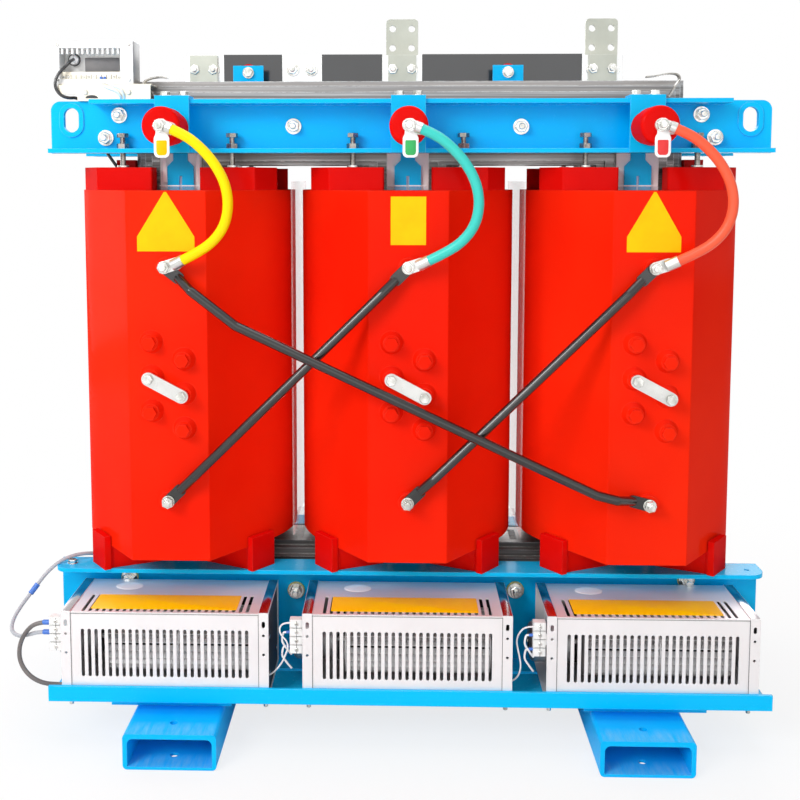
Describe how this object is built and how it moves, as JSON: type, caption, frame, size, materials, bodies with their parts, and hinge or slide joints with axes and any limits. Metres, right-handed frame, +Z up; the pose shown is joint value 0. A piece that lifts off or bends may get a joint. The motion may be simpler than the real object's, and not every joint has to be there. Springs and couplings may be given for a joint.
{
  "type": "cast resin dry-type power transformer",
  "caption": "Three-phase dry-type power transformer with red cast-resin coils, blue clamps and feet, delta links and cross-flow cooling fans along both sides.",
  "frame": {"origin": "on the floor, under the middle of the core", "axes": "+X along the row of coils to the right, -Y towards the high-voltage front, +Z up"},
  "size_m": [1.4013, 0.744, 1.36],
  "materials": {
    "beige_plate": "passivated sheet",
    "black_sleeve": "shrunk black sleeve",
    "blue_paint": "glossy blue paint",
    "box_plastic": "white instrument case",
    "bright_sheet": "bright zinc-plated sheet",
    "cable_grey": "grey sheathed cable",
    "cast_resin": "glossy cast resin",
    "core_steel": "laminated sheet edges",
    "green_lead": "soft insulated cable",
    "inner_resin": "resin-sealed foil winding",
    "link_metal": "bright plated bar",
    "motor_grey": "cast motor shell",
    "moulded_resin": "moulded resin",
    "red_lead": "soft insulated cable",
    "rotor_metal": "aluminium blades",
    "tinned_copper": "tinned copper bar",
    "white_board": "pale insulating board",
    "white_wire": "thin white wire",
    "yellow_lead": "soft insulated cable"
  },
  "bodies": {
    "transformer": {"bar_brackets": "blue_paint", "bar_posts": "moulded_resin", "bar_sleeves": "black_sleeve", "bottom_blocks": "moulded_resin", "bottom_yoke": "core_steel", "box_shelf": "beige_plate", "core_limbs": "core_steel", "delta_link_a_c": "black_sleeve", "delta_link_b_a": "black_sleeve", "delta_link_c_b": "black_sleeve", "fan_cable": "cable_grey", "fan_housings_front": "bright_sheet", "fan_housings_rear": "bright_sheet", "fan_motors_front": "motor_grey", "fan_motors_rear": "motor_grey", "fan_rail_front": "blue_paint", "fan_rail_rear": "blue_paint", "fan_terminals_front": "box_plastic", "fan_terminals_rear": "box_plastic", "fan_wire_middle": "white_wire", "fan_wire_right": "white_wire", "foot_left": "blue_paint", "foot_pads": "blue_paint", "foot_right": "blue_paint", "hv_coil_a": "cast_resin", "hv_coil_b": "cast_resin", "hv_coil_c": "cast_resin", "hv_insulator_a": "moulded_resin", "hv_insulator_b": "moulded_resin", "hv_insulator_c": "moulded_resin", "insulator_straps": "blue_paint", "lead_lugs": "link_metal", "limb_boards": "white_board", "link_cable": "cable_grey", "lower_clamp_front": "blue_paint", "lower_clamp_rear": "blue_paint", "lv_coils": "inner_resin", "lv_phase_bars": "tinned_copper", "neutral_bar": "tinned_copper", "neutral_leads": "tinned_copper", "phase_barriers": "white_board", "phase_lead_a": "yellow_lead", "phase_lead_b": "green_lead", "phase_lead_c": "red_lead", "sensor_cable": "black_sleeve", "tap_links": "link_metal", "terminal_box": "box_plastic", "tie_plates": "blue_paint", "top_blocks": "moulded_resin", "top_yoke": "core_steel", "upper_clamp_front": "blue_paint", "upper_clamp_rear": "blue_paint", "yoke_boards": "white_board"},
    "fan_rotor_front_1": {"fan_rotor_front_1": "rotor_metal"},
    "fan_rotor_front_2": {"fan_rotor_front_2": "rotor_metal"},
    "fan_rotor_front_3": {"fan_rotor_front_3": "rotor_metal"},
    "fan_rotor_rear_1": {"fan_rotor_rear_1": "rotor_metal"},
    "fan_rotor_rear_2": {"fan_rotor_rear_2": "rotor_metal"},
    "fan_rotor_rear_3": {"fan_rotor_rear_3": "rotor_metal"}
  },
  "joints": [
    {"name": "fan_front_1_spin", "type": "hinge", "parent": "transformer", "child": "fan_rotor_front_1", "pos_m": [-0.432, -0.2145, 0.171], "axis": [1, 0, 0], "continuous": true},
    {"name": "fan_front_2_spin", "type": "hinge", "parent": "transformer", "child": "fan_rotor_front_2", "pos_m": [0, -0.2145, 0.171], "axis": [1, 0, 0], "continuous": true},
    {"name": "fan_front_3_spin", "type": "hinge", "parent": "transformer", "child": "fan_rotor_front_3", "pos_m": [0.432, -0.2145, 0.171], "axis": [1, 0, 0], "continuous": true},
    {"name": "fan_rear_1_spin", "type": "hinge", "parent": "transformer", "child": "fan_rotor_rear_1", "pos_m": [-0.432, 0.2145, 0.171], "axis": [1, 0, 0], "continuous": true},
    {"name": "fan_rear_2_spin", "type": "hinge", "parent": "transformer", "child": "fan_rotor_rear_2", "pos_m": [0, 0.2145, 0.171], "axis": [1, 0, 0], "continuous": true},
    {"name": "fan_rear_3_spin", "type": "hinge", "parent": "transformer", "child": "fan_rotor_rear_3", "pos_m": [0.432, 0.2145, 0.171], "axis": [1, 0, 0], "continuous": true}
  ]
}
